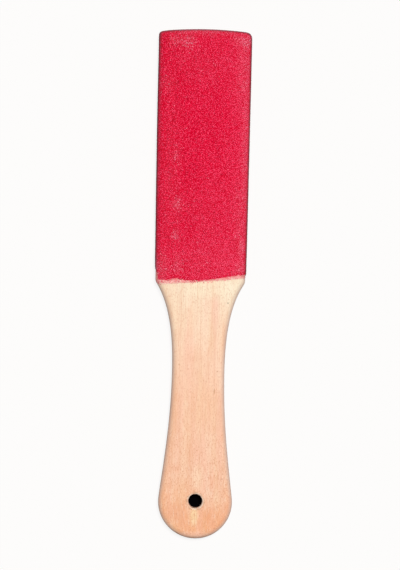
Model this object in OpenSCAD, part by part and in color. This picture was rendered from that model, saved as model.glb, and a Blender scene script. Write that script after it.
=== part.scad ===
// Wooden foot file: a one-piece paddle with abrasive coats on both faces of its blade.
// It lies on its rear coat: +X is its width, +Y points to the blade's tip, +Z is its front face.
// The origin is under the middle of the whole file, at the level that it rests on.

/* [Whole file] */
// Length from the crowned tip to the end of the round tail, coats included
overall_l = 260; // [230:5:290]
// Thickness of the wood
wood_t = 8; // [7:0.5:12]
// Radius of the rounding along both edges of the wood's outline
edge_r = 3; // [1:0.25:3.25]

/* [Blade] */
// Length of the blade from its tip to its shoulders
blade_l = 128.5; // [110:0.5:135]
// Width of the wood across the tip
tip_w = 46.7; // [42:0.1:60]
// Width of the wood across the shoulders
shoulder_w = 45.6; // [40:0.1:56]
// Radius of the crowned tip edge
crown_r = 200; // [100:10:400]
// Radius of the tip's two corners
corner_r = 3.5; // [3.5:0.25:8]
// Radius of the rounded shoulders
shoulder_r = 4; // [3.5:0.25:8]

/* [Handle] */
// Angle at which the blade flares in to the handle, to the file's own line
flare_angle = 30; // [24:1:40]
// Width of the handle at its narrowest
neck_w = 26.8; // [22:0.2:32]
// Distance from the shoulders to the narrowest place
flare_l = 46; // [30:1:55]
// Angle at which each flank of the handle runs into the round tail
flank_angle = 7; // [4:0.5:10]
// Radius of the round tail
tail_r = 18.8; // [17:0.1:24]

/* [Hanging hole] */
// Diameter of the hole
hole_d = 7.1; // [4:0.1:10]
// Distance of the hole's centre from the tail's end
hole_from_tail = 19.2; // [14:0.2:30]
// Depth and width of the eased rim at each mouth
rim = 0.9; // [0.3:0.1:1.5]

/* [Abrasive coats] */
// Thickness of the glue coat on each face
bond_t = 0.1; // [0.1:0.05:0.3]
// Thickness of the fine grit on the front
front_grit_t = 0.4; // [0.3:0.05:1]
// Thickness of the coarse grit on the rear
rear_grit_t = 0.5; // [0.3:0.05:1.2]
// Length of the front grit along the blade's left edge
front_grit_l = 128.2; // [90:0.2:129]
// How much shorter the front grit is along the right edge
front_grit_skew = 2.8; // [0:0.2:6]
// Length of the rear grit along the blade's left edge
rear_grit_l = 126.4; // [90:0.2:129]
// How much shorter the rear grit is along the right edge
rear_grit_skew = 1.2; // [0:0.2:6]
// Width of the bare glue margin below the grit
bond_margin = 1.6; // [0.8:0.1:3]
// How far the grit's ragged lower edge strays to either side
ragged_h = 0.5; // [0.1:0.05:0.7]
// Distance between the points of the ragged edge
ragged_pitch = 1.6; // [1:0.1:4]

/* [Hidden] */

// Handle lengths of the two side curves, as shares of the length of each
flare_start_share = 0.1;
flare_end_share = 0.7;
flank_start_share = 0.4;
flank_end_share = 0.3;

// Straight steps in each part of the outline and round each edge
crown_steps = 5;
corner_steps = 6;
shoulder_steps = 3;
flare_steps = 14;
flank_steps = 10;
tail_steps = 20;
edge_steps = 6;
$fn = 64;

// How far a cutter runs past what it cuts
overrun = 1;

// Numbers that start the two ragged edges
front_ragged_seed = 11;
rear_ragged_seed = 23;

// Levels, from the one that the file rests on
rear_t = bond_t + rear_grit_t;
mid_z = rear_t + wood_t / 2;
band_half = wood_t / 2 - edge_r;

// Places along the file; the coats stand over the wood at the tip
coat_over = bond_t + max(front_grit_t, rear_grit_t);
tip_y = overall_l / 2 - coat_over;
tail_y = -overall_l / 2;
shoulder_y = tip_y - blade_l;
neck_y = shoulder_y - flare_l;
hole_y = tail_y + hole_from_tail;

// The blade's sides taper slightly towards the shoulders
side_angle = atan((tip_w - shoulder_w) / 2 / blade_l);
shoulder_x = shoulder_w / 2;

forward = [0, 1];
function unit(a) = [cos(a), sin(a)];
function quarter_turn(v) = [-v[1], v[0]];
function at(p, n) = [p[0], p[1], n[0], n[1]];

// An outline place is a point with the direction that faces outwards there: [x, y, nx, ny]
function arc(centre, r, from, to, steps, first = 0) = [for (i = [first:steps])
    let (n = unit(from + (to - from) * i / steps)) at(centre + r * n, n)];

// Point and run of a cubic curve at the share t of its way
function curve_at(p, t) = pow(1 - t, 3) * p[0] + 3 * t * pow(1 - t, 2) * p[1]
    + 3 * t * t * (1 - t) * p[2] + pow(t, 3) * p[3];
function curve_run(p, t) = pow(1 - t, 2) * (p[1] - p[0]) + 2 * t * (1 - t) * (p[2] - p[1])
    + t * t * (p[3] - p[2]);
function curve(p, steps) = [for (i = [1:steps - 1])
    let (t = i / steps, run = curve_run(p, t)) at(curve_at(p, t), quarter_turn(run) / norm(run))];

// The right side of the outline, from the middle of the tip to the end of the tail
function crown_and_corner() =
    let (facing = unit(-side_angle),
         along = quarter_turn(facing),
         crown_c = [0, tip_y - crown_r],
         inner = [shoulder_x, shoulder_y] - corner_r * facing - crown_c,
         up = inner * along,
         reach = sqrt(up * up - inner * inner + pow(crown_r - corner_r, 2)) - up,
         corner_c = crown_c + inner + reach * along,
         start = atan2(corner_c[1] - crown_c[1], corner_c[0]))
    concat(arc(crown_c, crown_r, 90, start, crown_steps),
           arc(corner_c, corner_r, start, -side_angle, corner_steps, 1));

function shoulder() =
    let (facing = unit(-side_angle),
         back = shoulder_r * tan((flare_angle - side_angle) / 2),
         centre = [shoulder_x, shoulder_y] + back * quarter_turn(facing) - shoulder_r * facing)
    arc(centre, shoulder_r, -side_angle, -flare_angle, shoulder_steps);

function flare() =
    let (last = shoulder()[shoulder_steps],
         start = [last[0], last[1]],
         end = [neck_w / 2, neck_y],
         reach = start[1] - neck_y)
    curve([start, start - flare_start_share * reach * quarter_turn(unit(-flare_angle)),
           end + flare_end_share * reach * forward, end], flare_steps);

function flank_and_tail() =
    let (start = [neck_w / 2, neck_y],
         tail_c = [0, tail_y + tail_r],
         end = tail_c + tail_r * unit(flank_angle),
         reach = neck_y - end[1])
    concat([at(start, unit(0))],
           curve([start, start - flank_start_share * reach * forward,
                  end + flank_end_share * reach * quarter_turn(unit(flank_angle)), end], flank_steps),
           arc(tail_c, tail_r, flank_angle, -90, tail_steps));

blade_side = concat(crown_and_corner(), shoulder(), flare());
whole_side = concat(blade_side, flank_and_tail());

// The closed outline, moved outwards by grow: down the right side and up the left
function grown(q, grow, side) = [side * (q[0] + grow * q[2]), q[1] + grow * q[3]];
function loop(side, grow) = concat(
    [for (q = side) grown(q, grow, 1)],
    [for (i = [len(side) - 2:-1:1]) grown(side[i], grow, -1)]);

// Growth and height of each ring round an edge that is itself covered by grow, from its side to its face
function edge_rings(grow) = [for (i = [0:edge_steps])
    let (a = 90 * i / edge_steps) [(edge_r + grow) * cos(a) - edge_r, band_half + (edge_r + grow) * sin(a)]];

// A slab with the outline above, built up from rings of growth and height
module slab(side, rings) {
    count = 2 * len(side) - 2;
    last = len(side) - 1;
    top = (len(rings) - 1) * count;
    points = [for (ring = rings) for (p = loop(side, ring[0])) [p[0], p[1], ring[1]]];
    walls = [for (k = [0:len(rings) - 2]) for (i = [0:count - 1])
        let (j = (i + 1) % count)
        [k * count + i, k * count + j, (k + 1) * count + j, (k + 1) * count + i]];
    strips = [for (i = [1:last - 2]) [i, i + 1, count - i - 1, count - i]];
    ends = [[0, 1, count - 1], [last - 1, last, last + 1]];
    caps = concat(strips, ends);
    over = [for (face = caps) [for (v = face) top + v]];
    under = [for (face = caps) [for (i = [len(face) - 1:-1:0]) face[i]]];
    polyhedron(points, concat(walls, over, under), convexity = 4);
}

// Everything of the blade under a coat surface that lies grow above the wood
module blade_under(grow, drop) {
    rings = edge_rings(grow);
    foot = [rings[0][0], rings[0][1] - drop];
    end = at([0, neck_y], [0, 0]);
    slab(concat(blade_side, [end]), drop > 0 ? concat([foot], rings) : rings);
}

// Place of a coat's lower edge at the share t of its way from the left to the right
function coat_edge_y(l, skew, t) = tip_y + coat_over - l + skew * pow(t, 3);

// Everything above that edge, as an outline seen from the front
module coat_region(l, skew, stray, seed) {
    half_w = tip_w / 2 + coat_over + overrun;
    count = round(2 * half_w / ragged_pitch);
    strays = rands(-stray, stray, count + 1, seed);
    edge = [for (i = [0:count])
        [half_w * (2 * i / count - 1), coat_edge_y(l, skew, i / count) + strays[i]]];
    polygon(concat(edge, [[half_w, tip_y + coat_over + overrun], [-half_w, tip_y + coat_over + overrun]]));
}

// A layer over the blade's face, its rounded edges and its tip, between two heights above the wood
module coat(inner, outer, l, skew, stray, seed) {
    intersection() {
        difference() {
            blade_under(outer, 0);
            blade_under(inner, overrun);
        }
        linear_extrude(wood_t + coat_over) coat_region(l, skew, stray, seed);
    }
}

module on_front() {
    translate([0, 0, mid_z]) children();
}

module on_rear() {
    translate([0, 0, mid_z]) mirror([0, 0, 1]) children();
}

module eased_rim() {
    translate([0, hole_y, wood_t / 2 - rim])
        cylinder(h = rim + overrun, r1 = hole_d / 2, r2 = hole_d / 2 + rim + overrun);
}

module hanging_hole() {
    translate([0, hole_y, -wood_t / 2 - overrun]) cylinder(h = wood_t + 2 * overrun, d = hole_d);
    eased_rim();
    mirror([0, 0, 1]) eased_rim();
}

// One piece of close-grained hardwood, routed round both faces and drilled at the tail
module paddle() {
    face_rings = edge_rings(0);
    back_rings = [for (i = [edge_steps:-1:0]) [face_rings[i][0], -face_rings[i][1]]];
    color("burlywood") on_front() difference() {
        slab(whole_side, concat(back_rings, face_rings));
        hanging_hole();
    }
}

// Tinted glue under the front grit, a little longer than the grit
module front_bond_coat() {
    color("lightpink") on_front()
        coat(0, bond_t, front_grit_l + bond_margin, front_grit_skew, 0, 0);
}

// Fine red grit bedded in the front glue coat
module front_grit() {
    color("crimson") on_front()
        coat(bond_t, bond_t + front_grit_t, front_grit_l, front_grit_skew, ragged_h, front_ragged_seed);
}

// Tinted glue under the rear grit
module rear_bond_coat() {
    color("lightpink") on_rear()
        coat(0, bond_t, rear_grit_l + bond_margin, rear_grit_skew, 0, 0);
}

// Coarse red grit bedded in the rear glue coat, which the file rests on
module rear_grit() {
    color("firebrick") on_rear()
        coat(bond_t, bond_t + rear_grit_t, rear_grit_l, rear_grit_skew, ragged_h, rear_ragged_seed);
}

paddle();
front_bond_coat();
front_grit();
rear_bond_coat();
rear_grit();
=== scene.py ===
"""A wooden foot file: a waisted beech paddle with red grit glued round both faces of its blade."""
import math
import random

import bmesh
import bpy
import numpy as np
from mathutils import Matrix, Vector, kdtree, noise


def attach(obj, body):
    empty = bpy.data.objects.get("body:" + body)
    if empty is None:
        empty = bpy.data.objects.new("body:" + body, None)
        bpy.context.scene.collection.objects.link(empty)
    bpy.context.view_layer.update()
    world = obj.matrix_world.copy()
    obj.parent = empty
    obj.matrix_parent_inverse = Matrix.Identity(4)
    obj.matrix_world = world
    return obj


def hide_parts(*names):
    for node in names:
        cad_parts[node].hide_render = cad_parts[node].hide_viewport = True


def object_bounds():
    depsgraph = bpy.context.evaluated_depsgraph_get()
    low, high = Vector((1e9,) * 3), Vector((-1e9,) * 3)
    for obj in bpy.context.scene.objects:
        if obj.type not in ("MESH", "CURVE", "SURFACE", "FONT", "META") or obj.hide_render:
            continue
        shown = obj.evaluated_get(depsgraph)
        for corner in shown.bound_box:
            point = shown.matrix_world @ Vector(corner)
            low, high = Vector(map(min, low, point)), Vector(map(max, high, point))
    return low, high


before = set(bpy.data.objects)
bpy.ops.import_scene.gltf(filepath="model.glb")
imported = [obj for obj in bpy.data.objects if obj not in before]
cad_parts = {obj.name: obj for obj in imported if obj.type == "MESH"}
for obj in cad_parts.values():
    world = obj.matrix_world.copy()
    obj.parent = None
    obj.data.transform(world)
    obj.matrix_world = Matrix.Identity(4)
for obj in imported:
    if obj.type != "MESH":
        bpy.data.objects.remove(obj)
cad_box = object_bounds()

# The camera.
# The file lies on its rear coat and is seen from straight above through a long lens. Its length and its
# middle in the picture's frame give the camera's height and place, and it lies a little turned there.
MM = 0.001
FILE_L = 260 * MM
FILE_L_PX = 509.1
TURN = math.radians(1.29)
CENTRE_PX = (200.1, 283.7)
PICTURE_PX = (400, 570)
LENS_MM = 200
SENSOR_MM = 36

low, high = cad_box
middle = (Vector(low) + Vector(high)) / 2
metres_per_px = FILE_L / FILE_L_PX
camera_height = PICTURE_PX[1] * metres_per_px * LENS_MM / SENSOR_MM
off_x = (PICTURE_PX[0] / 2 - CENTRE_PX[0]) * metres_per_px
off_y = (CENTRE_PX[1] - PICTURE_PX[1] / 2) * metres_per_px
camera_data = bpy.data.cameras.new("camera")
camera_data.lens = LENS_MM
camera_data.sensor_fit = "VERTICAL"
camera_data.sensor_height = SENSOR_MM
camera = bpy.data.objects.new("camera", camera_data)
camera.location = middle + Matrix.Rotation(TURN, 3, "Z") @ Vector((off_x, off_y, camera_height))
camera.rotation_euler = (0, 0, TURN)
bpy.context.scene.collection.objects.link(camera)
bpy.context.scene.camera = camera
bpy.context.scene.view_settings.view_transform = "Standard"

# The sheet that the file lies on.
# Seamless photographic paper: matt and white, mostly by its own glow to the eye, so that the file's shadow
# on it stays as faint as in the picture. It throws back little light, so that the rounded edges stay dark.
SHEET_HALF = 3.0
SHEET_GLOW = 0.88


def paint(hex_colour):
    """An sRGB hex value as the linear colour that a shader takes."""
    shares = [int(hex_colour[i:i + 2], 16) / 255 for i in (1, 3, 5)]
    return tuple(c / 12.92 if c <= 0.04045 else ((c + 0.055) / 1.055) ** 2.4 for c in shares) + (1,)


def add(tree, kind, inputs=None, ramp=None, **settings):
    """A node with its settings, its ramp's stops, and its inputs as values or links."""
    made = tree.nodes.new(kind)
    for name, value in settings.items():
        setattr(made, name, value)
    if ramp:
        stops = made.color_ramp.elements
        while len(stops) < len(ramp):
            stops.new(0.5)
        for stop, (place, colour) in zip(stops, ramp):
            stop.position = place
            stop.color = colour
    for name, value in (inputs or {}).items():
        if isinstance(value, bpy.types.NodeSocket):
            tree.links.new(value, made.inputs[name])
        else:
            made.inputs[name].default_value = value
    return made


def seen_directly(tree):
    """1 for what the eye sees, straight or in something glossy or clear, and 0 for what only lights."""
    ray = add(tree, "ShaderNodeLightPath").outputs
    seen = add(tree, "ShaderNodeMath", {0: ray["Is Camera Ray"], 1: ray["Is Glossy Ray"]},
               operation="MAXIMUM").outputs[0]
    return add(tree, "ShaderNodeMath", {0: seen, 1: ray["Is Transmission Ray"]},
               operation="MAXIMUM").outputs[0]


def new_material(name):
    """An empty node material with its output, ready for a finish."""
    made = bpy.data.materials.new(name)
    made.use_nodes = True
    made.node_tree.nodes.clear()
    return made, made.node_tree, made.node_tree.nodes.new("ShaderNodeOutputMaterial")


def as_piece(bm, name, material, smooth=True):
    """Turns a finished bmesh into an object at the origin."""
    mesh = bpy.data.meshes.new(name)
    for face in bm.faces:
        face.smooth = smooth
    bm.to_mesh(mesh)
    bm.free()
    mesh.materials.append(material)
    piece = bpy.data.objects.new(name, mesh)
    bpy.context.scene.collection.objects.link(piece)
    return piece


paper, tree, output = new_material("seamless_paper")
seen = seen_directly(tree)
tone = add(tree, "ShaderNodeMix", {"Factor": seen, "A": paint("#8C8C8A"), "B": paint("#FDFCFB")},
           data_type="RGBA")
lit = add(tree, "ShaderNodeBsdfDiffuse", {"Color": tone.outputs["Result"]})
glow = add(tree, "ShaderNodeEmission", {"Color": paint("#FDFCFB")})
share = add(tree, "ShaderNodeMath", {0: seen, 1: SHEET_GLOW}, operation="MULTIPLY")
mixed = add(tree, "ShaderNodeMixShader", {0: share.outputs[0], 1: lit.outputs[0], 2: glow.outputs[0]})
tree.links.new(mixed.outputs[0], output.inputs["Surface"])
bm = bmesh.new()
bmesh.ops.create_grid(bm, x_segments=1, y_segments=1, size=SHEET_HALF)
sheet = as_piece(bm, "table_sheet", paper)

# The painted shade under the hanging hole.
# Nothing but black shows through the hole, so a small matt black card lies on the sheet there: a painted
# shade in place of the lit sheet that the hole would otherwise show.
HOLE_Y = -110.8 * MM
CARD_R = 5 * MM
CARD_LIFT = 0.1 * MM
painted_shade_card, tree, output = new_material("painted_shade_card")
card_shader = add(tree, "ShaderNodeBsdfDiffuse", {"Color": paint("#060608")})
tree.links.new(card_shader.outputs[0], output.inputs["Surface"])
bm = bmesh.new()
bmesh.ops.create_circle(bm, cap_ends=True, segments=32, radius=CARD_R,
                        matrix=Matrix.Translation((0, HOLE_Y, CARD_LIFT)))
card = as_piece(bm, "painted_shade_card_under_hole", painted_shade_card)

# The lamp and the room.
# One broad diffused lamp shines from above, a little from the right and from the tip, and a pale room lies
# round it.
KEY_TO_RIGHT = math.radians(7)
KEY_TO_TIP = math.radians(12)
KEY_SPREAD = math.radians(16)
KEY_SHARE = 0.87
ROOM_SHARE = 0.13
KEY_PLACE = (0.3, 0.3, 1)
key_data = bpy.data.lights.new("diffused_lamp", "SUN")
key_data.angle = KEY_SPREAD
key_data.energy = KEY_SHARE * math.pi / (math.cos(KEY_TO_RIGHT) * math.cos(KEY_TO_TIP))
key = bpy.data.objects.new("diffused_lamp", key_data)
key.rotation_euler = (-KEY_TO_TIP, KEY_TO_RIGHT, 0)
key.location = KEY_PLACE
bpy.context.scene.collection.objects.link(key)
room = bpy.data.worlds.new("pale_room")
room.use_nodes = True
tree = room.node_tree
tree.nodes.clear()
seen = seen_directly(tree)
level = add(tree, "ShaderNodeMapRange", {"Value": seen, "To Min": ROOM_SHARE, "To Max": 1.0})
sky = add(tree, "ShaderNodeBackground", {"Color": paint("#FDFCFB"), "Strength": level.outputs[0]})
output = tree.nodes.new("ShaderNodeOutputWorld")
tree.links.new(sky.outputs[0], output.inputs["Surface"])
bpy.context.scene.world = room

# The paddle.
# One board of beech, sawn to a waisted outline, rounded over along both faces and drilled for hanging.
# It is sanded and left bare, so its grain runs from end to end and wraps down its sides.
WOOD_T = 8 * MM
EDGE_R = 3 * MM
COAT_OVER = 0.6 * MM
MID_Z = COAT_OVER + WOOD_T / 2
BAND_HALF = WOOD_T / 2 - EDGE_R
TIP_Y = FILE_L / 2 - COAT_OVER
TAIL_Y = -FILE_L / 2
BLADE_L = 128.5 * MM
TIP_W = 46.7 * MM
SHOULDER_W = 45.6 * MM
CROWN_R = 200 * MM
CORNER_R = 3.5 * MM
LEFT_CORNER_POWER = 3.9
RIGHT_CORNER_POWER = 2.7
# How far each side of the hand-sawn board stands to the right of its drawn outline, at points along it,
# in mm.
LEFT_DRIFT = (
    (-130, 0.0), (-120, -0.1), (-105, -0.18), (-80, -0.08), (-45, 0.08), (-25, 0.2), (-8, 0.05),
    (20, -0.02), (45, -0.12), (75, -0.2), (95, -0.14), (112, -0.05), (125, 0.0),
)
RIGHT_DRIFT = (
    (-130, 0.0), (-105, -0.09), (-80, -0.07), (-50, 0.0), (-25, -0.05), (-5, 0.08),
    (20, 0.15), (70, 0.12), (100, 0.08), (118, 0.02), (125, 0.0),
)
DRIFT_FROM = 6 * MM
DRIFT_FULL = 12 * MM
# How far the tip is worn down towards its corners, at points across it, in mm.
TIP_DROP = (
    (-23.6, 0.2), (-22.8, 0.4), (-21.7, 0.32), (-20.7, 0.15), (-19.0, 0.0),
    (20.0, 0.0), (21.0, 0.15), (22.3, 0.2), (23.3, 0.35), (23.8, 0.25),
)
DROP_FROM = 118 * MM
SHOULDER_R = 4 * MM
FLARE_ANGLE = math.radians(30)
FLARE_L = 46 * MM
NECK_W = 26.8 * MM
FLANK_ANGLE = math.radians(7)
TAIL_R = 18.8 * MM
HOLE_R = 3.55 * MM
RIM = 0.9 * MM
FLARE_START_SHARE = 0.1
FLARE_END_SHARE = 0.7
FLANK_START_SHARE = 0.4
FLANK_END_SHARE = 0.3
OUTLINE_STEPS = 28
EDGE_STEPS = 8
RIM_STEPS = 5
HOLE_STEPS = 56
FLAT_RING = 0.3 * MM
SAME_PLACE = 0.001 * MM
SAME_LEVEL = 0.01 * MM
NEAR_NOTHING = 1e-9
SHOULDER_Y = TIP_Y - BLADE_L
NECK_Y = SHOULDER_Y - FLARE_L
SIDE_ANGLE = math.atan((TIP_W - SHOULDER_W) / 2 / BLADE_L)


def heading(angle):
    """The way that goes clockwise round an outline where it faces the given angle."""
    return Vector((math.sin(angle), -math.cos(angle), 0))


def facing(angle):
    """The outward way at the given angle."""
    return Vector((math.cos(angle), math.sin(angle), 0))


def arc_reach(radius, angle):
    """Length of the handles that make a curve follow a round arc."""
    return 4 / 3 * math.tan(angle / 4) * radius


def outline_knots():
    """Knots down the right side: place, heading, and the handles' lengths before and after."""
    crown_c = Vector((0, TIP_Y - CROWN_R, 0))
    out = facing(-SIDE_ANGLE)
    up = -heading(-SIDE_ANGLE)
    shoulder = Vector((SHOULDER_W / 2, SHOULDER_Y, 0))
    inner = shoulder - CORNER_R * out - crown_c
    along = inner.dot(up)
    reach = math.sqrt(along ** 2 - inner.length_squared + (CROWN_R - CORNER_R) ** 2) - along
    corner_c = crown_c + inner + reach * up
    meet = math.atan2(corner_c.y - crown_c.y, corner_c.x)
    crown = arc_reach(CROWN_R, math.pi / 2 - meet)
    corner = arc_reach(CORNER_R, meet + SIDE_ANGLE)
    turn = FLARE_ANGLE - SIDE_ANGLE
    round_c = shoulder + SHOULDER_R * math.tan(turn / 2) * up - SHOULDER_R * out
    side_top = corner_c + CORNER_R * out
    side_end = round_c + SHOULDER_R * out
    side = (side_top - side_end).length / 3
    bend = arc_reach(SHOULDER_R, turn)
    flare_start = round_c + SHOULDER_R * facing(-FLARE_ANGLE)
    flare = flare_start.y - NECK_Y
    flank_end = Vector((0, TAIL_Y + TAIL_R, 0)) + TAIL_R * facing(FLANK_ANGLE)
    flank = NECK_Y - flank_end.y
    lobe = arc_reach(TAIL_R, FLANK_ANGLE + math.pi / 2)
    return [
        (Vector((0, TIP_Y, 0)), heading(math.pi / 2), crown, crown),
        (corner_c + CORNER_R * facing(meet), heading(meet), crown, corner),
        (side_top, heading(-SIDE_ANGLE), corner, side),
        (side_end, heading(-SIDE_ANGLE), side, bend),
        (flare_start, heading(-FLARE_ANGLE), bend, FLARE_START_SHARE * flare),
        (Vector((NECK_W / 2, NECK_Y, 0)), heading(0), FLARE_END_SHARE * flare, FLANK_START_SHARE * flank),
        (flank_end, heading(FLANK_ANGLE), FLANK_END_SHARE * flank, lobe),
        (Vector((0, TAIL_Y, 0)), heading(-math.pi / 2), lobe, lobe),
    ]


def as_sawn(x, y):
    """Takes drawn places to the real board's, whose sides are uneven and whose tip corners are tight."""
    centre = outline_knots()[2][0] - CORNER_R * facing(-SIDE_ANGLE)
    beyond_x = np.maximum(abs(x) - centre.x, 0)
    beyond_y = np.maximum(y - centre.y, 0)
    power = np.where(x < 0, LEFT_CORNER_POWER, RIGHT_CORNER_POWER)
    square = np.maximum((beyond_x ** power + beyond_y ** power) ** (1 / power), NEAR_NOTHING)
    more = np.where((beyond_x > 0) & (beyond_y > 0), np.hypot(beyond_x, beyond_y) / square - 1, 0)
    drift = [np.interp(y / MM, *zip(*table)) * MM for table in (LEFT_DRIFT, RIGHT_DRIFT)]
    drift = np.where(x < 0, *drift) * np.clip((abs(x) - DRIFT_FROM) / (DRIFT_FULL - DRIFT_FROM), 0, 1)
    x = x + drift + np.sign(x) * beyond_x * more
    y = y + beyond_y * more
    drop = np.interp(x / MM, *zip(*TIP_DROP)) * MM
    return x, y - drop * np.clip((y - DROP_FROM) / (TIP_Y - DROP_FROM), 0, 1)


def outline_mesh():
    """The whole outline as one closed line of points, from the middle of the tip clockwise."""
    right = outline_knots()
    flip = Matrix.Scale(-1, 4, (1, 0, 0))
    left = [(flip @ place, -(flip @ way), after, before) for place, way, before, after in right[-2:0:-1]]
    curve = bpy.data.curves.new("outline", "CURVE")
    curve.dimensions = "2D"
    curve.fill_mode = "NONE"
    curve.resolution_u = OUTLINE_STEPS
    line = curve.splines.new("BEZIER")
    line.bezier_points.add(len(right + left) - 1)
    line.use_cyclic_u = True
    for knot, (place, way, before, after) in zip(line.bezier_points, right + left):
        knot.handle_left_type = knot.handle_right_type = "FREE"
        knot.co = place
        knot.handle_left = place - before * way
        knot.handle_right = place + after * way
    holder = bpy.data.objects.new("outline", curve)
    bpy.context.scene.collection.objects.link(holder)
    bpy.context.view_layer.update()
    mesh = bpy.data.meshes.new_from_object(holder)
    bpy.data.objects.remove(holder)
    return mesh


def spun_hole():
    """The upper half of the hanging hole: its bore, its eased rim and a flat ring round it."""
    made = bmesh.new()
    rim_z = WOOD_T / 2 - RIM
    turns = [math.pi / 2 * i / RIM_STEPS for i in range(RIM_STEPS + 1)]
    profile = [(HOLE_R, 0)]
    profile += [(HOLE_R + RIM * (1 - math.cos(a)), rim_z + RIM * math.sin(a)) for a in turns]
    profile += [(HOLE_R + RIM + FLAT_RING, WOOD_T / 2)]
    line = [made.verts.new((r, HOLE_Y, z)) for r, z in profile]
    edges = [made.edges.new(pair) for pair in zip(line, line[1:])]
    bmesh.ops.spin(made, geom=line + edges, cent=(0, HOLE_Y, 0), axis=(0, 0, 1), angle=2 * math.pi,
                   steps=HOLE_STEPS, use_merge=True)
    mesh = bpy.data.meshes.new("hole")
    made.to_mesh(mesh)
    made.free()
    return mesh


outline = outline_mesh()
bm = bmesh.new()
bm.from_mesh(outline)
bmesh.ops.contextual_create(bm, geom=bm.edges[:])
bmesh.ops.recalc_face_normals(bm, faces=bm.faces[:])
if bm.faces[:][0].normal.z < 0:
    bmesh.ops.reverse_faces(bm, faces=bm.faces[:])
raised = bmesh.ops.extrude_face_region(bm, geom=bm.faces[:])
cap = [part for part in raised["geom"] if isinstance(part, bmesh.types.BMFace)]
bmesh.ops.translate(bm, verts=cap[0].verts[:], vec=(0, 0, BAND_HALF))
for step in range(EDGE_STEPS):
    start = math.pi / 2 * step / EDGE_STEPS
    end = math.pi / 2 * (step + 1) / EDGE_STEPS
    bmesh.ops.inset_region(bm, faces=cap, thickness=EDGE_R * (math.cos(start) - math.cos(end)),
                           depth=EDGE_R * (math.sin(end) - math.sin(start)), use_even_offset=True)
bmesh.ops.inset_region(bm, faces=cap, thickness=FLAT_RING, depth=0, use_even_offset=True)
bmesh.ops.delete(bm, geom=cap, context="FACES_ONLY")
bm.from_mesh(spun_hole())
for vert in bm.verts:
    if abs(vert.co.z - WOOD_T / 2) < SAME_LEVEL:
        vert.co.z = WOOD_T / 2
face_edges = [e for e in bm.edges if e.is_boundary and e.verts[0].co.z > EDGE_R and e.verts[1].co.z > EDGE_R]
bmesh.ops.triangle_fill(bm, use_beauty=True, edges=face_edges, normal=(0, 0, 1))
bottom = [f for f in bm.faces if all(abs(v.co.z) < SAME_PLACE for v in f.verts)]
bmesh.ops.delete(bm, geom=bottom, context="FACES_ONLY")
bmesh.ops.mirror(bm, geom=bm.verts[:] + bm.edges[:] + bm.faces[:], matrix=Matrix.Identity(4),
                 merge_dist=SAME_PLACE, axis="Z")
bmesh.ops.recalc_face_normals(bm, faces=bm.faces[:])
bmesh.ops.translate(bm, verts=bm.verts[:], vec=(0, 0, MID_Z))
flat = np.array([vert.co for vert in bm.verts])
for vert, x, y in zip(bm.verts, *as_sawn(flat[:, 0], flat[:, 1])):
    vert.co.x = x
    vert.co.y = y

# The grain of the wood, shared by the bare paddle and by the thin glue that it shows through.
# The colours run along the board, from its tail to the middle of its length.
WARM_AT = (
    (0.00, "#F6B17F"), (0.05, "#F4B487"), (0.09, "#F5BD97"), (0.12, "#F7C6A6"), (0.28, "#FACAAA"),
    (0.37, "#FBD2B3"), (0.44, "#FBDDBE"), (0.50, "#FAE6C9"),
)
WARMTH_STRAYS = 0.10
# Streaks of the wood: the real width and length of one in mm, its place in the noise, and the detail of it.
# Fibres, flecks and pores are drawn several times as coarse as beech has them, so that they show.
WARMTH = (12, 70, 3.0, 2)
PINK_STREAKS = (5, 60, 11.0, 2)
CREAM_STREAKS = (4, 50, 23.0, 2)
BANDS = (3.5, 22, 17.0, 2)
BLOTCHES = (9, 18, 29.0, 2)
GROWTH_LINES = (0.5, 55, 5.0, 3)
FIBRES = (0.45, 4, 7.0, 2)
FLECKS = (0.5, 0.9, 13.0, 1)
RAY_W = 0.9 * MM
RAY_L = 3.2 * MM
PORE = 0.35 * MM
# The surface gets rougher between these places, and its blotches, fibres and flecks show by these shares.
ROUGHER_FROM = -60 * MM
ROUGHER_TO = -100 * MM
BLOTCHES_SHOW = (0.1, 0.45)
FIBRES_SHOW = (0.3, 0.5)
FLECKS_SHOW = (0.5, 0.95)
FACE_Z = MID_Z + WOOD_T / 2
MARK_DEPTH = 3 * MM
MARK_END = 1.25
MARK_FULL = 0.3
# Marks of this board: centre, half width and half length in mm, colour and strength.
MARKS = (
    ((8.0, -13.0), (2.6, 12.0), "#FBC8B0", 0.55),
    ((17.0, -3.5), (9.0, 9.0), "#FCEFD2", 0.75),
    ((3.0, -2.0), (13.0, 6.5), "#FDEDCC", 0.6),
    ((15.5, -13.0), (6.0, 9.0), "#FBE6C8", 0.45),
    ((1.0, -99.0), (3.2, 8.0), "#FFE0BC", 0.5),
    ((-18.0, -14.0), (5.0, 16.0), "#F1C6A2", 0.5),
    ((-14.5, -66.0), (5.0, 34.0), "#E9A878", 0.4),
    ((3.0, -64.0), (7.0, 13.0), "#F3B88E", 0.35),
    ((11.6, -46.0), (3.0, 12.0), "#FFE0C4", 0.55),
    ((9.0, -120.0), (9.0, 9.0), "#EE9A68", 0.45),
    ((-0.4, -118.5), (2.4, 5.5), "#FBDCA8", 0.7),
    ((0.0, -128.0), (11.0, 1.8), "#FFCDB4", 0.5),
    ((8.4, -54.7), (0.35, 1.8), "#B87848", 0.8),
    ((-11.0, -117.0), (6.0, 7.0), "#EBA47C", 0.35),
    ((14.4, -9.6), (0.5, 0.5), "#9C8768", 0.8),
    ((9.8, -44.5), (0.5, 0.5), "#C98A5E", 0.6),
    ((-9.8, -41.4), (0.6, 0.6), "#C9905E", 0.5),
    ((13.4, -99.3), (0.5, 0.5), "#C08068", 0.6),
)


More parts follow.
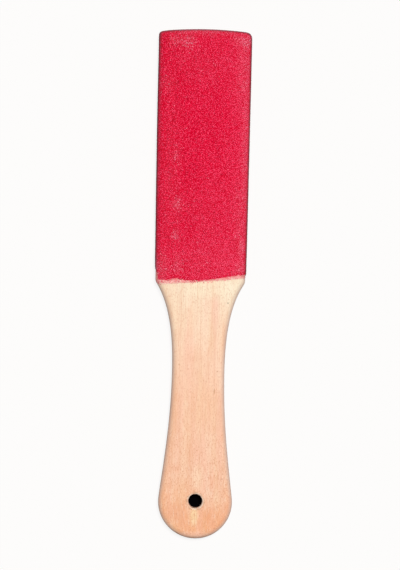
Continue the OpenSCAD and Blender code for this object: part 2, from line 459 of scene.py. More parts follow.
def streaks(tree, place, width, run, shift, detail):
    """Noise drawn out along the grain, from the real width and length of one streak in mm."""
    scale = (1 / (width * MM), 1 / (run * MM), 1 / (width * MM))
    cells = add(tree, "ShaderNodeMapping", {"Vector": place, "Location": (shift, shift, shift),
                                            "Scale": scale})
    noisy = add(tree, "ShaderNodeTexNoise", {"Vector": cells.outputs[0], "Scale": 1, "Detail": detail})
    return noisy.outputs[0]


def laid(tree, below, tint, pattern, bare_at, full_at, strength):
    """A tint laid over a colour where a pattern runs from one of its values to another."""
    share = add(tree, "ShaderNodeMapRange", {"Value": pattern, "From Min": bare_at, "From Max": full_at,
                                             "To Max": strength}, interpolation_type="SMOOTHSTEP")
    mixed = add(tree, "ShaderNodeMix", {"Factor": share.outputs[0], "A": below, "B": paint(tint)},
                data_type="RGBA")
    return mixed.outputs["Result"]


def beech_colour(tree):
    """The board's colour and the relief of its grain."""
    coords = add(tree, "ShaderNodeTexCoord")
    place = coords.outputs["Object"]
    length = add(tree, "ShaderNodeSeparateXYZ", {0: place}).outputs["Y"]
    along = add(tree, "ShaderNodeMapRange", {"Value": length, "From Min": TAIL_Y, "From Max": -TAIL_Y})
    stray = add(tree, "ShaderNodeMath", {0: streaks(tree, place, *WARMTH), 1: WARMTH_STRAYS,
                                         2: -WARMTH_STRAYS / 2}, operation="MULTIPLY_ADD")
    along = add(tree, "ShaderNodeMath", {0: along.outputs[0], 1: stray.outputs[0]}, operation="ADD")
    warm = add(tree, "ShaderNodeValToRGB", {0: along.outputs[0]}, ramp=[(at, paint(c)) for at, c in WARM_AT])
    to_tail = {"Value": length, "From Min": ROUGHER_FROM, "From Max": ROUGHER_TO}
    shows = [add(tree, "ShaderNodeMapRange", {**to_tail, "To Min": before, "To Max": after}).outputs[0]
             for before, after in (BLOTCHES_SHOW, FIBRES_SHOW, FLECKS_SHOW)]
    blotches_show, fibres_show, flecks_show = shows

    pink = streaks(tree, place, *PINK_STREAKS)
    colour = laid(tree, warm.outputs[0], "#FBC0A8", pink, 0.45, 0.7, 0.35)
    cream = streaks(tree, place, *CREAM_STREAKS)
    colour = laid(tree, colour, "#FCDCAE", cream, 0.48, 0.7, 0.25)
    bands = streaks(tree, place, *BANDS)
    colour = laid(tree, colour, "#EBB088", bands, 0.48, 0.72, 0.28)
    colour = laid(tree, colour, "#FFE4CA", bands, 0.5, 0.28, 0.25)
    blotches = streaks(tree, place, *BLOTCHES)
    colour = laid(tree, colour, "#F0A880", blotches, 0.48, 0.7, blotches_show)

    for (x, y), (half_w, half_l), tint, strength in MARKS:
        scale = (1 / (half_w * MM), 1 / (half_l * MM), 1 / MARK_DEPTH)
        shift = (-x / half_w, -y / half_l, -FACE_Z / MARK_DEPTH)
        local = add(tree, "ShaderNodeMapping", {"Vector": place, "Location": shift, "Scale": scale})
        away = add(tree, "ShaderNodeVectorMath", {0: local.outputs[0]}, operation="LENGTH").outputs["Value"]
        colour = laid(tree, colour, tint, away, MARK_END, MARK_FULL, strength)

    growth = streaks(tree, place, *GROWTH_LINES)
    colour = laid(tree, colour, "#E3A57C", growth, 0.48, 0.75, 0.4)
    fibres = streaks(tree, place, *FIBRES)
    colour = laid(tree, colour, "#D9966F", fibres, 0.48, 0.8, fibres_show)
    colour = laid(tree, colour, "#FFE9D2", fibres, 0.5, 0.2, fibres_show)
    flecks = streaks(tree, place, *FLECKS)
    colour = laid(tree, colour, "#DC9874", flecks, 0.5, 0.8, flecks_show)
    cells = add(tree, "ShaderNodeMapping", {"Vector": place, "Scale": (1 / RAY_W, 1 / RAY_L, 1 / RAY_W)})
    rays = add(tree, "ShaderNodeTexVoronoi", {"Vector": cells.outputs[0], "Scale": 1}).outputs["Distance"]
    colour = laid(tree, colour, "#D79C76", rays, 0.26, 0.08, 0.3)

    way_out = add(tree, "ShaderNodeSeparateXYZ", {0: coords.outputs["Normal"]})
    # Where the surface turns down the rounded edges, its colour is laid greyer: a painted shade tone on the
    # edges, which turn away from the light.
    upright = add(tree, "ShaderNodeMath", {0: way_out.outputs["Z"]}, operation="ABSOLUTE").outputs[0]
    colour = laid(tree, colour, "#F2D2C4", upright, 1.0, 0.55, 0.5)
    end_on = add(tree, "ShaderNodeMath", {0: way_out.outputs["Y"]}, operation="ABSOLUTE").outputs[0]
    colour = laid(tree, colour, "#9A6044", end_on, 0.5, 1.0, 0.45)
    cells = add(tree, "ShaderNodeMapping", {"Vector": place, "Scale": (1 / PORE, 1 / PORE, 1 / PORE)})
    pores = add(tree, "ShaderNodeTexNoise", {"Vector": cells.outputs[0], "Scale": 1, "Detail": 1}).outputs[0]
    pores_show = add(tree, "ShaderNodeMapRange", {"Value": end_on, "From Min": 0.5, "From Max": 1,
                                                  "To Max": 0.5}, interpolation_type="SMOOTHSTEP").outputs[0]
    colour = laid(tree, colour, "#C98D62", pores, 0.45, 0.62, pores_show)
    relief = add(tree, "ShaderNodeMath", {0: growth, 1: fibres}, operation="ADD").outputs[0]
    return colour, relief


# Beech, planed, sanded and left bare: a warm matt surface that runs from peach to cream, with fine lines
# along it, short darker flecks, brown end grain, and glue smeared on the blade's sides, where a brush
# slipped.
# Round the hole, broken patches of the eased rim are painted paler, a painted highlight, and a broken dark
# line just outside the rim is painted shade in the crease.
SMEAR_FROM = 1 * MM
SMEAR_FULL = 5 * MM
SMEAR_SHARE = 0.8
DAUBS = (1.5, 6, 41.0, 2)
RIM_PATCH_SIZE = 2.2 * MM
FINE_RELIEF = 0.03 * MM
wood, tree, output = new_material("sanded_beech")
colour, relief = beech_colour(tree)
coords = add(tree, "ShaderNodeTexCoord")
place = coords.outputs["Object"]
# The eased rim round the hole: paler in broken patches, a painted highlight, with a broken line of painted
# shade in the crease just outside it.
local = add(tree, "ShaderNodeMapping", {"Vector": place, "Location": (0, -HOLE_Y / HOLE_R, 0),
                                        "Scale": (1 / HOLE_R, 1 / HOLE_R, 0)})
from_hole = add(tree, "ShaderNodeVectorMath", {0: local.outputs[0]}, operation="LENGTH").outputs["Value"]
cells = add(tree, "ShaderNodeMapping", {"Vector": place, "Scale": (1 / RIM_PATCH_SIZE, 1 / RIM_PATCH_SIZE, 1 / RIM_PATCH_SIZE)})
rim_patches = add(tree, "ShaderNodeTexNoise", {"Vector": cells.outputs[0], "Scale": 1, "Detail": 1}).outputs[0]
painted_rim_highlight = add(tree, "ShaderNodeMapRange", {"Value": rim_patches, "From Min": 0.35, "From Max": 0.6, "To Max": 0.8},
           interpolation_type="SMOOTHSTEP").outputs[0]
colour = laid(tree, colour, "#F3DCC6", from_hole, 1.25, 1.15, painted_rim_highlight)
painted_crease_shade = add(tree, "ShaderNodeMapRange", {"Value": rim_patches, "From Min": 0.65, "From Max": 0.35, "To Max": 0.5},
            interpolation_type="SMOOTHSTEP").outputs[0]
ring = add(tree, "ShaderNodeMapRange", {"Value": from_hole, "From Min": 1.12, "From Max": 1.24,
                                        "To Max": painted_crease_shade}, interpolation_type="SMOOTHSTEP").outputs[0]
colour = laid(tree, colour, "#A8916E", from_hole, 1.45, 1.26, ring)
upright = add(tree, "ShaderNodeSeparateXYZ", {0: coords.outputs["Normal"]}).outputs["Z"]
upright = add(tree, "ShaderNodeMath", {0: upright}, operation="ABSOLUTE").outputs[0]
on_side = add(tree, "ShaderNodeMapRange", {"Value": upright, "From Min": 0.6, "From Max": 0.2,
                                           "To Max": SMEAR_SHARE},
              interpolation_type="SMOOTHSTEP").outputs[0]
length = add(tree, "ShaderNodeSeparateXYZ", {0: place}).outputs["Y"]
smeared = add(tree, "ShaderNodeMapRange", {"Value": length, "From Min": SMEAR_FROM,
                                           "From Max": SMEAR_FULL, "To Max": on_side},
              interpolation_type="SMOOTHSTEP").outputs[0]
colour = laid(tree, colour, "#D8536A", streaks(tree, place, *DAUBS), 0.3, 0.6, smeared)
bump = add(tree, "ShaderNodeBump", {"Height": relief, "Strength": 0.5, "Distance": FINE_RELIEF})
shader = add(tree, "ShaderNodeBsdfPrincipled", {"Base Color": colour, "Roughness": 0.6,
                                                "Specular IOR Level": 0.35, "Normal": bump.outputs[0]})
tree.links.new(shader.outputs[0], output.inputs["Surface"])
paddle = as_piece(bm, "beech_paddle", wood)
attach(paddle, "root")
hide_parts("paddle")

# The glue coats.
# Pink resin glue is brushed over each face of the blade, round its edges and over its tip, before the grit
# is laid in it. It shows bare as a pale margin below the grit, where it thins out into the wood.
BOND_T = 0.1 * MM
BOND_SUNK = 0.05 * MM
WRAP = EDGE_R * math.pi / 2
BOND_LEVEL = 0.45 * MM
BOND_SLOPE = 0.0874
BOND_BRUSH = 0.25 * MM
BRUSH_MARK = 2.5 * MM
BRUSH_SEED = 4.0
BOND_THINS = 0.9 * MM
BOND_THINS_AT_RIM = 0.3 * MM
BOND_FADE = 0.7 * MM
BOND_FADE_SLOPE = 0.055
BOND_COLUMNS = 72
BOND_ROWS = 150
ROWS_TO_ENDS = 0.6
FRONT = 1
REAR = -1
HANDLE_BELOW = -14 * MM
AT_ONCE = 4000

ring = np.array([v.co for v in outline.vertices])[:, :2]
run = np.roll(ring, -1, 0) - np.roll(ring, 1, 0)
outward = np.stack([-run[:, 1], run[:, 0]], 1) / np.linalg.norm(run, axis=1)[:, None]
inner_ring = ring - EDGE_R * outward
on_handle = np.nonzero(inner_ring[:, 1] < HANDLE_BELOW)[0]
flat_edge = np.concatenate([inner_ring[on_handle[-1] + 1:], inner_ring[:on_handle[0]]])
widest = int(np.argmax(flat_edge[:, 0]))
topmost = int(np.argmax(flat_edge[:, 1]))
side_line = flat_edge[widest:]
crown_line = flat_edge[topmost:widest + 1]


def half_width(y):
    """Half the width of the blade's flat face at some distance along it."""
    return np.interp(y, side_line[::-1, 1], side_line[::-1, 0])


def crown_y(x):
    """Where the flat face ends towards the tip."""
    return np.interp(abs(x), crown_line[:, 0], crown_line[:, 1])


def over_blade(x, y, lift, side):
    """Bends a flat coat over the blade's rounded edges: its places at a height above the wood, its ways out,
    and how far it still is from its rim."""
    reach_x = abs(x) - half_width(y)
    reach_y = y - crown_y(x)
    corner = (reach_x > 0) & (reach_y > 0)
    diagonal = np.maximum(np.hypot(reach_x, reach_y), NEAR_NOTHING)
    pull = np.where(corner, np.maximum(reach_x, reach_y) / diagonal, 1)
    flat_x = np.where(corner, np.sign(x) * (half_width(y) + reach_x * pull), x)
    flat_y = np.where(corner, crown_y(x) + reach_y * pull, y)
    flat = np.stack([flat_x, flat_y], 1)
    start = flat_edge[:-1]
    step = flat_edge[1:] - start
    near = np.empty_like(flat)
    outside = np.empty(len(flat), bool)
    for first in range(0, len(flat), AT_ONCE):
        some = flat[first:first + AT_ONCE, None]
        share = np.clip(((some - start) * step).sum(2) / (step ** 2).sum(1), 0, 1)
        spots = start + share[..., None] * step
        gap = some - spots
        best = np.argmin((gap ** 2).sum(2), 1)
        rows = np.arange(len(best))
        near[first:first + AT_ONCE] = spots[rows, best]
        cross = -gap[rows, best, 0] * step[best, 1] + gap[rows, best, 1] * step[best, 0]
        outside[first:first + AT_ONCE] = cross > 0
    gap = flat - near
    away = np.where(outside, np.linalg.norm(gap, axis=1), 0)
    way = gap / np.maximum(np.linalg.norm(gap, axis=1), NEAR_NOTHING)[:, None]
    turn = np.minimum(away / EDGE_R, math.pi / 2)
    reach = ((EDGE_R + lift) * np.sin(turn))[:, None]
    across = np.where(outside[:, None], near + way * reach, flat)
    height = BAND_HALF + (EDGE_R + lift) * np.cos(turn)
    places = np.column_stack([*as_sawn(across[:, 0], across[:, 1]), MID_Z + side * height])
    ways_out = np.column_stack([way * np.sin(turn)[:, None], side * np.cos(turn)])
    return places, ways_out, WRAP - away


def rough(x, y, cell, seed):
    """Smooth random relief of a real cell size, from -1 to 1."""
    return np.array([noise.noise(Vector((a / cell, b / cell, seed))) for a, b in zip(x, y)])


def ease(value, low_end, high_end):
    """Rises smoothly from 0 to 1 between two values."""
    share = np.clip((value - low_end) / (high_end - low_end), 0, 1)
    return share * share * (3 - 2 * share)


def coat_shell(columns, rows, lower_edge, height_at, sunk, side):
    """A closed shell over one face of the blade: a grid that is doubled and bent over the rounded edges."""
    made = bmesh.new()
    cover = made.verts.layers.float.new("cover")
    bmesh.ops.create_grid(made, x_segments=columns, y_segments=rows, size=1)
    raised = bmesh.ops.extrude_face_region(made, geom=made.faces[:], use_keep_orig=True)
    raised = [part for part in raised["geom"] if isinstance(part, bmesh.types.BMVert)]
    bmesh.ops.translate(made, verts=raised, vec=(0, 0, 1))
    made.normal_update()
    walls = [face for face in made.faces if abs(face.normal.z) < 0.5]
    for edge in [edge for wall in walls for edge in wall.edges]:
        edge.smooth = False
    grid = np.array([vert.co for vert in made.verts])
    share = (grid[:, 1] + 1) / 2
    share = share - ROWS_TO_ENDS * np.sin(2 * math.pi * share) / (2 * math.pi)
    nominal = grid[:, 0] * (half_width(0) + WRAP)
    low_y = lower_edge(nominal)
    y = low_y + share * (crown_y(nominal) + WRAP - low_y)
    x = grid[:, 0] * (half_width(y) + WRAP)
    to_rim = over_blade(x, y, np.zeros(len(x)), side)[2]
    lift, shown = height_at(x, y, y - low_y, to_rim)
    lift = np.where(grid[:, 2] > 0.5, lift, sunk)
    places = over_blade(x, y, lift, side)[0]
    for vert, place, share in zip(made.verts, places, shown):
        vert.co = place
        vert[cover] = share
    bmesh.ops.recalc_face_normals(made, faces=made.faces[:])
    return made


def bond_edge(x):
    """The brushed lower edge of a glue coat."""
    return BOND_LEVEL + BOND_SLOPE * x + BOND_BRUSH * rough(x, x, BRUSH_MARK, BRUSH_SEED)


def bond_height(x, y, above, to_rim):
    """The glue thins out towards its edges, and its pink fades towards the lower one."""
    feathered = ease(above, 0, BOND_THINS) * ease(to_rim, 0, BOND_THINS_AT_RIM)
    shown = ease(above, 0, BOND_FADE + BOND_FADE_SLOPE * abs(x))
    return (BOND_T + BOND_SUNK) * feathered - BOND_SUNK, shown


# Resin glue tinted pink, brushed on thin and dried: the wood shows through it, it is a little smoother than
# the wood, and it is blotched where it soaked in and flecked with stray red grains.
BRUSHED = (0.8, 2.0, 31.0, 2)
SOAKED = (1.0, 0.8, 37.0, 2)
STRAY_GRAINS = (0.5, 0.5, 43.0, 1)
glue, tree, output = new_material("tinted_resin_glue")
colour, relief = beech_colour(tree)
cover = add(tree, "ShaderNodeAttribute", attribute_name="cover").outputs["Fac"]
place = add(tree, "ShaderNodeTexCoord").outputs["Object"]
thick = add(tree, "ShaderNodeMapRange", {"Value": streaks(tree, place, *BRUSHED), "From Min": 0.1,
                                         "From Max": 0.6, "To Max": cover},
            interpolation_type="SMOOTHSTEP").outputs[0]
colour = laid(tree, colour, "#E67E7E", thick, 0.0, 0.9, 0.9)
colour = laid(tree, colour, "#FCE0D4", streaks(tree, place, *SOAKED), 0.5, 0.72, 0.55)
colour = laid(tree, colour, "#DC4A62", streaks(tree, place, *STRAY_GRAINS), 0.56, 0.68, 0.75)
shader = add(tree, "ShaderNodeBsdfPrincipled", {"Base Color": colour, "Roughness": 0.45,
                                                "Specular IOR Level": 0.35})
tree.links.new(shader.outputs[0], output.inputs["Surface"])
GLUE_COATS = (("front_glue_coat", "front_bond_coat", FRONT), ("rear_glue_coat", "rear_bond_coat", REAR))
for name, node, side in GLUE_COATS:
    bm = coat_shell(BOND_COLUMNS, BOND_ROWS, bond_edge, bond_height, -BOND_SUNK, side)
    coat = as_piece(bm, name, glue)
    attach(coat, "root")
    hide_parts(node)

# The front grit.
# Fine red mineral grains stand in the glue under a thin coat of red resin. They are drawn about twice as
# coarse as such a grit is, so that each shows as a fleck of its own.
FRONT_GRIT_T = 0.4 * MM
FRONT_LEVEL = 1.35 * MM
FRONT_CLIMB = 0.165
FRONT_PITCH = 0.38 * MM
CLIMB_FROM = 0.5 * MM
RAGGED = 0.5 * MM
TOOTH = 1.6 * MM
NOTCH = 0.7 * MM
NOTCH_SHARE = 0.6
FRONT_EDGE_SEED = 11.0
BARE = 0.9 * MM
BARE_X = -12 * MM
BARE_W = 2.6 * MM
FLAKE_W = 2.9 * MM
FLAKE_FROM = 3.5 * MM
FLAKE_TO = 10 * MM
FLAKE_RAGGED = 0.8 * MM
FLAKE_NOTCH = 1.1 * MM
FLAKE_SEED = 21.0
FRINGE = 0.9 * MM
STRAY_REACH = 1.5 * MM
STRAY_SHARE = 0.08
RIM_GAP = 0.06 * MM
# The resin between the grains: its waves, and how deep it fills them, as shares of the coat's thickness.
RESIN_COLUMNS = 112
RESIN_ROWS = 290
RESIN_SUNK = 0.05 * MM
WAVE = 0.8 * MM
SWELL = 2.4 * MM
SWELL_SHARE = 0.5
WAVE_SHARE = 0.16
FRONT_WAVE_SEED = 2.0
FILLED = 0.5
FILLED_AT_RIM = 0.8
FULLER_FROM = 0.3
MOST_FILLED = 0.92
RESIN_THINS = 0.8 * MM
RESIN_THINS_AT_RIM = 0.15 * MM
RESIN_LIFT = 0.01 * MM
RESIN_GONE = -0.03 * MM
# The grains: their half widths and half heights, their seat, and how each is set and chipped by chance.
FRONT_WIDE = (0.18 * MM, 0.28 * MM)
FRONT_TALL = (0.13 * MM, 0.2 * MM)
FRONT_SEAT = BOND_T + 0.135 * MM
FRONT_BUILD_UP = 0.15 * MM
SCATTER = 0.32
LEAN = 0.35
CHIPPED = (0.78, 1.05)
BATCH = 80
FRONT_SEED = 101
FRONT_BANDS = 7
BANDS_FROM = -2 * MM
BANDS_TO = 133 * MM
# The grains are painted lighter towards the right and darker towards the left, by this share per mm: painted
# light from the right.
PAINTED_LIGHT_SLOPE = 0.0075
TINT_MIDDLE = 0.424
TINT_SPREAD = 0.58
TINT_DRIFT = 0.09
DRIFT_PATCH = 12 * MM
DRIFT_PATCH_SEED = 61.0
DRIFT_SPOT = 5 * MM
DRIFT_SPOT_SEED = 67.0
DRIFT_SPOT_SHARE = 0.6
LEAST_TINT = 0.1
FACET_TINT = 0.12
STAND_BY_TINT = 0.045 * MM
STAND_MOST = 1.2
EVENED = 0.5
EVENED_WITHIN = 1.37
# Down the rounded edge the grains are painted darker, a painted shade where the edge turns away from the
# light, and before it a pale veil is laid over them, between these shares of the way.
PAINTED_EDGE_SHADE = 0.92
DARK_FROM = 0.36
DARK_TO = 0.72
VEIL_FROM = 0.1
VEIL_TO = 0.5
VEIL_SPREAD = (0.5, 1.5)
WHITE_COVER = (0.25, 0.8)
# Worn and dusty patches of the grit: centre, half width and half length in mm, how much lighter the grains
# are, their veil of pale skin dust, and the share of them that are quite white. The patches along the right
# edge, where the face starts to round over, are partly dust and partly a painted highlight.
FRONT_WEAR = (
    # Along the right edge: partly dust, partly a painted highlight where the face rounds over.
    ((20.5, 112.0), (4.2, 24.0), 0.05, 0.110, 0.02),
    ((20.5, 26.0), (4.2, 30.0), 0.05, 0.100, 0.014),
    ((21.8, 66.0), (2.6, 64.0), 0.10, 0.140, 0.014),
    ((0.0, 129.5), (30.0, 3.0), 0.03, 0.180, 0.01),
    ((4.0, 10.0), (30.0, 15.0), 0.14, 0.058, 0.006),
    ((4.0, 34.0), (30.0, 22.0), 0.02, 0.025, 0.004),
    ((-21.0, 8.0), (5.0, 8.0), 0.05, 0.190, 0.04),
    ((-22.6, 7.2), (0.5, 0.5), 0.1, 0.3, 0.9),
    ((21.0, 12.0), (4.0, 14.0), 0.06, 0.065, 0.02),
    ((-14.0, 20.0), (4.0, 12.0), 0.05, 0.025, 0.01),
    ((-13.0, 38.0), (3.0, 18.0), 0.0, 0.045, 0.02),
    ((-17.0, 50.0), (6.0, 60.0), 0.0, 0.045, 0.004),
    ((-4.0, 112.0), (24.0, 13.0), 0.02, 0.030, 0.004),
    ((-14.4, 124.0), (4.6, 3.4), 0.05, 0.130, 0.20),
    ((-8.6, 123.4), (3.6, 4.0), 0.03, 0.160, 0.22),
    ((17.0, 124.2), (3.0, 3.0), 0.03, 0.190, 0.18),
    ((20.0, 123.6), (4.2, 3.4), 0.06, 0.210, 0.22),
    ((20.0, 101.0), (2.0, 4.0), 0.03, 0.160, 0.08),
    ((17.0, 97.0), (3.8, 7.0), 0.0, 0.035, 0.01),
    ((-18.5, 101.0), (5.0, 5.0), 0.02, 0.075, 0.03),
    ((-13.6, 66.5), (2.2, 6.0), 0.0, 0.095, 0.09),
    ((11.0, 73.5), (1.4, 1.4), 0.0, 0.050, 0.10),
    ((12.5, 43.8), (2.0, 1.4), 0.0, 0.040, 0.08),
    ((20.6, 45.0), (1.7, 3.4), 0.05, 0.130, 0.10),
    ((20.4, 19.0), (2.6, 7.0), 0.05, 0.170, 0.06),
    ((20.2, 8.0), (3.4, 5.0), 0.05, 0.180, 0.05),
    ((-12.8, 39.6), (2.8, 3.6), 0.0, 0.160, 0.15),
    ((-13.4, 24.6), (2.4, 3.2), 0.03, 0.140, 0.14),
    ((-11.6, 9.0), (3.4, 6.0), 0.05, 0.140, 0.10),
    ((17.4, 45.0), (1.6, 2.0), 0.0, 0.110, 0.06),
    ((17.6, 24.0), (1.8, 2.2), 0.0, 0.100, 0.05),
)
RIM_VEIL = 0.08


def grit_edge(level, climb, bare, seed):
    """The ragged lower edge of a grit coat: it climbs to the right and is held back near the left corner."""
    def edge(x):
        stray = rough(x, x, TOOTH, seed) + NOTCH_SHARE * rough(x, x, NOTCH, seed + 5)
        held = bare * np.exp(-((x - BARE_X) / BARE_W) ** 2)
        return level + climb * np.maximum(x - CLIMB_FROM, 0) + RAGGED * stray + held
    return edge


def flaked(x, y, to_rim):
    """Where the grit has flaked off the left edge, just above the handle."""
    notches = FLAKE_RAGGED * rough(y, y, FLAKE_NOTCH, FLAKE_SEED)
    width = FLAKE_W * (1 - ease(y, FLAKE_FROM, FLAKE_TO)) + notches
    return (x < 0) & (y < FLAKE_TO) & (to_rim < width)


def resin_height(thickness, seed):
    """Heights of the resin between the grains: uneven, and thinned out at its edges and where it is gone."""
    def height(x, y, above, to_rim):
        waves = rough(x, y, WAVE, seed) + SWELL_SHARE * rough(x, y, SWELL, seed + 3)
        gone = flaked(x, y, to_rim)
        shown = ease(above, 0, RESIN_THINS) * ~gone
        feathered = shown * ease(to_rim, 0, RESIN_THINS_AT_RIM)
        fuller = ease(WRAP - to_rim, FULLER_FROM * WRAP, WRAP)
        level = FILLED + (FILLED_AT_RIM - FILLED) * fuller + WAVE_SHARE * waves
        offset = np.where(gone, RESIN_GONE, RESIN_LIFT)
        return BOND_T + feathered * thickness * np.minimum(level, MOST_FILLED) + offset, shown
    return height


def worn_at(x, y, patches):
    """How light, how veiled and how often white the grains are at some places on the blade."""
    found = np.zeros((3, len(x)))
    for (at_x, at_y), (half_w, half_l), *most in patches:
        near = np.exp(-((x / MM - at_x) / half_w) ** 2 - ((y / MM - at_y) / half_l) ** 2)
        found = np.maximum(found, np.outer(most, near))
    return found


def grain_layer(name, pitch, wide, tall, seat, build_up, edge, side, span, wear, material, seed):
    """Faceted grains set in rows over part of the blade, each turned, stretched and tinted by chance."""
    chance = random.Random(seed)
    first, last = span
    row_gap = pitch * math.sqrt(3) / 2
    spots = []
    across = TIP_W / 2 - EDGE_R + WRAP
    for row in range(int(first / row_gap), int(last / row_gap)):
        for column in range(int(-across / pitch) - 1, int(across / pitch) + 2):
            x = (column + 0.5 * (row % 2) + chance.uniform(-SCATTER, SCATTER)) * pitch
            y = (row + chance.uniform(-SCATTER, SCATTER)) * row_gap
            spots.append((x, y, chance.random()))
    x, y, luck = np.array(spots).T
    places, _, to_rim = over_blade(x, y, np.zeros(len(x)), side)
    limit = edge(x) + FRINGE * luck ** 3 - np.where(luck < STRAY_SHARE, STRAY_REACH, 0)
    inside = (to_rim > RIM_GAP) & (y > limit) & (abs(x) < half_width(y) + WRAP) & ~flaked(x, y, to_rim)
    x, y, places, to_rim = x[inside], y[inside], places[inside], to_rim[inside]
    toss = [chance.gauss(0, 1) for _ in x]
    around = kdtree.KDTree(len(x))
    for i, place in enumerate(places):
        around.insert(place, i)
    around.balance()
    near = [[toss[j] for _, j, _ in around.find_range(place, EVENED_WITHIN * pitch)] for place in places]
    evened = np.array([own - EVENED * sum(others) / len(others) for own, others in zip(toss, near)])
    down_edge = ease(WRAP - to_rim, DARK_FROM * WRAP, DARK_TO * WRAP)
    rim = ease(WRAP - to_rim, VEIL_FROM * WRAP, VEIL_TO * WRAP)
    raised = STAND_BY_TINT * np.clip(evened, -STAND_MOST, STAND_MOST)
    stand = seat + raised * (1 - down_edge) + build_up * down_edge
    places, ways_out, _ = over_blade(x, y, stand, side)
    lighter, veil, white = worn_at(x, y, wear)
    veil = np.maximum(veil, RIM_VEIL * rim)
    spotty = DRIFT_SPOT_SHARE * rough(x, y, DRIFT_SPOT, DRIFT_SPOT_SEED)
    patchy = rough(x, y, DRIFT_PATCH, DRIFT_PATCH_SEED) + spotty
    # The slope across the blade is painted light from the right.
    middle = TINT_MIDDLE + lighter + PAINTED_LIGHT_SLOPE * x / MM + TINT_DRIFT * patchy
    # Down the rounded edge the grains are painted darker: painted shade.
    shades = np.clip(middle + TINT_SPREAD * evened, LEAST_TINT, 1.0) * (1 - PAINTED_EDGE_SHADE * down_edge)
    whole = bmesh.new()
    whole.verts.layers.float.new("tint")
    whole.verts.layers.float.new("dust")
    for start in range(0, len(x), BATCH):
        part = bmesh.new()
        part.verts.layers.float.new("tint")
        part.verts.layers.float.new("dust")
        tint = part.verts.layers.float["tint"]
        dusting = part.verts.layers.float["dust"]
        for i in range(start, min(start + BATCH, len(x))):
            way = Vector(ways_out[i]).to_track_quat("Z", "Y").to_matrix().to_4x4()
            spin = Matrix.Rotation(chance.uniform(0, 2 * math.pi), 4, "Z")
            lean = Matrix.Rotation(chance.uniform(-LEAN, LEAN), 4, "X")
            size = Matrix.Diagonal((chance.uniform(*wide), chance.uniform(*wide), chance.uniform(*tall), 1))
            at = Matrix.Translation(places[i])
            grain = bmesh.ops.create_icosphere(part, subdivisions=1, radius=1,
                                               matrix=at @ way @ spin @ lean @ size)
            dust = veil[i] * chance.uniform(*VEIL_SPREAD)
            if chance.random() < white[i]:
                dust = chance.uniform(*WHITE_COVER)
            centre = Vector(places[i])
            for vert in grain["verts"]:
                vert.co = centre + (vert.co - centre) * chance.uniform(*CHIPPED)
                vert[tint] = shades[i] + chance.gauss(0, FACET_TINT)
                vert[dusting] = dust
        mesh = bpy.data.meshes.new("batch")
        part.to_mesh(mesh)
        part.free()
        whole.from_mesh(mesh)
        bpy.data.meshes.remove(mesh)
    return as_piece(whole, name, material, smooth=False)


def grit_material(name, tint_name, shades):
    """Resin-coated mineral: its colour goes by each grain's own tint, under its share of pale dust."""
    made, tree, output = new_material(name)
    tint = add(tree, "ShaderNodeAttribute", attribute_name=tint_name).outputs["Fac"]
    colour = add(tree, "ShaderNodeValToRGB", {0: tint}, ramp=[(at, paint(c)) for at, c in shades]).outputs[0]
    dust = add(tree, "ShaderNodeAttribute", attribute_name="dust").outputs["Fac"]
    colour = add(tree, "ShaderNodeMix", {"Factor": dust, "A": colour, "B": paint("#F0CCE4")},
                 data_type="RGBA").outputs["Result"]
    shader = add(tree, "ShaderNodeBsdfPrincipled", {"Base Color": colour, "Roughness": 0.55,
                                                    "Specular IOR Level": 0.0})
    tree.links.new(shader.outputs[0], output.inputs["Surface"])
    return made


# Red mineral grit, without gloss: each grain has its own tint from crimson to pink, and its facets differ a
# little at random. The deepest, near-black crimson is painted shade, reached only down the rounded edges. A
# few grains are white where skin dust has stayed on them.
GRAIN_SHADES = (
    (0.0, "#600A22"), (0.1, "#9C0012"), (0.2, "#BE0020"), (0.35, "#DC0230"), (0.5, "#F01244"),
    (0.7, "#FF2E5A"), (0.85, "#FF446E"), (1.0, "#FF6086"),
)
fine_grit = grit_material("fine_red_grit", "tint", GRAIN_SHADES)
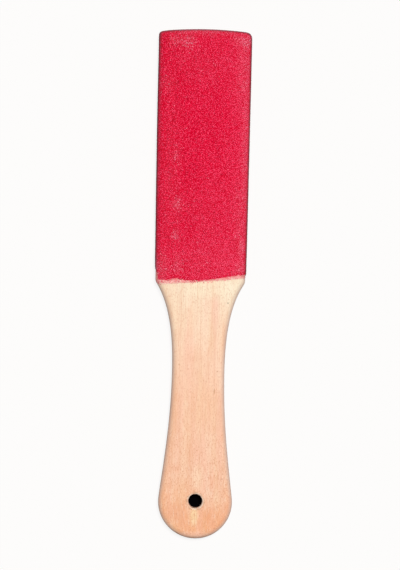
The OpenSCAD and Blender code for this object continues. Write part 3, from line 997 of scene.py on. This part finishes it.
# Red size resin: the deep, even red that is seen between the grains, pink where it thins out into the glue.
RESIN_SHADES = ((0.0, "#F09C98"), (0.5, "#E8203E"), (1.0, "#D8042C"))
resin = grit_material("red_size_resin", "cover", RESIN_SHADES)
front_edge = grit_edge(FRONT_LEVEL, FRONT_CLIMB, BARE, FRONT_EDGE_SEED)
front_height = resin_height(FRONT_GRIT_T, FRONT_WAVE_SEED)
bm = coat_shell(RESIN_COLUMNS, RESIN_ROWS, front_edge, front_height, RESIN_SUNK, FRONT)
resin_coat = as_piece(bm, "front_resin_coat", resin)
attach(resin_coat, "root")
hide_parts("front_grit")
band_l = (BANDS_TO - BANDS_FROM) / FRONT_BANDS
for number in range(FRONT_BANDS):
    span = (BANDS_FROM + number * band_l, BANDS_FROM + (number + 1) * band_l)
    grains = grain_layer("front_grains_%d" % (number + 1), FRONT_PITCH, FRONT_WIDE, FRONT_TALL, FRONT_SEAT,
                         FRONT_BUILD_UP, front_edge, FRONT, span, FRONT_WEAR, fine_grit,
                         FRONT_SEED + number)
    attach(grains, "root")

# The rear grit.
# The back of the blade carries the same red mineral in coarser grains, for the first rough filing.
# They are sharp, closely packed and bedded in a thicker coat of the red resin.
REAR_GRIT_T = 0.5 * MM
REAR_LEVEL = 4.0 * MM
REAR_CLIMB = 0.03
REAR_PITCH = 0.92 * MM
REAR_WIDE = (0.38 * MM, 0.6 * MM)
REAR_TALL = (0.2 * MM, 0.29 * MM)
REAR_SEAT = BOND_T + 0.14 * MM
REAR_BUILD_UP = 0.03 * MM
REAR_SPAN = (-2 * MM, 134 * MM)
REAR_EDGE_SEED = 17.0
REAR_WAVE_SEED = 6.0
REAR_SEED = 200
REAR_WEAR = (
    ((0.0, 62.0), (30.0, 90.0), 0.02, 0.012, 0.012),
    ((-16.0, 30.0), (4.0, 30.0), 0.05, 0.04, 0.04),
    ((15.0, 112.0), (8.0, 10.0), 0.05, 0.04, 0.05),
)
# The same mineral, coarse: each grain shows its own few facets, from deep crimson to pink.
coarse_grit = grit_material("coarse_red_grit", "tint", GRAIN_SHADES)
rear_edge = grit_edge(REAR_LEVEL, REAR_CLIMB, 0, REAR_EDGE_SEED)
rear_height = resin_height(REAR_GRIT_T, REAR_WAVE_SEED)
bm = coat_shell(RESIN_COLUMNS, RESIN_ROWS, rear_edge, rear_height, RESIN_SUNK, REAR)
resin_coat = as_piece(bm, "rear_resin_coat", resin)
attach(resin_coat, "root")
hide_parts("rear_grit")
grains = grain_layer("rear_grains", REAR_PITCH, REAR_WIDE, REAR_TALL, REAR_SEAT, REAR_BUILD_UP, rear_edge,
                     REAR, REAR_SPAN, REAR_WEAR, coarse_grit, REAR_SEED)
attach(grains, "root")
